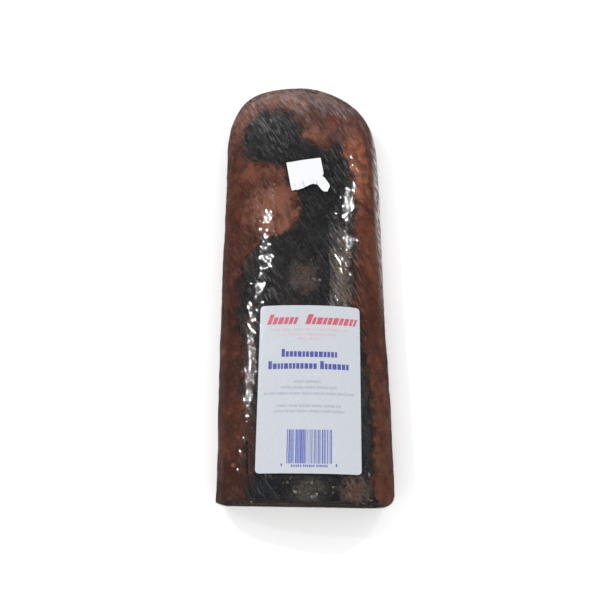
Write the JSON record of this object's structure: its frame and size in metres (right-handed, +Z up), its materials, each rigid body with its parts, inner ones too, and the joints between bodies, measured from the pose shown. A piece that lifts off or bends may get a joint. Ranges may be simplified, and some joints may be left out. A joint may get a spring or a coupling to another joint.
{
  "type": "poppy seed roll",
  "caption": "Baked roll of thin dough wound round dark poppy filling, cut straight at one end, drawn tight in clear film with a paper label and a price sticker.",
  "frame": {"origin": "on the resting plane, under the middle of the wrapped roll", "axes": "+Y along the roll from the cut end to the round end, +X to the right seen from the cut end, +Z up"},
  "size_m": [0.1356, 0.3705, 0.0541],
  "materials": {
    "roll_dough": "browned crust, satin; crumb at the cut",
    "poppy_filling": "moist dark paste, fine seeds",
    "film_wrap": "clear stretch film, glossy and wrinkled",
    "label": "smooth paper, printed",
    "price_sticker": "smooth paper"
  },
  "bodies": {
    "root": {"roll_dough": "roll_dough", "poppy_filling": "poppy_filling", "film_wrap": "film_wrap", "label": "label", "price_sticker": "price_sticker"}
  },
  "joints": []
}
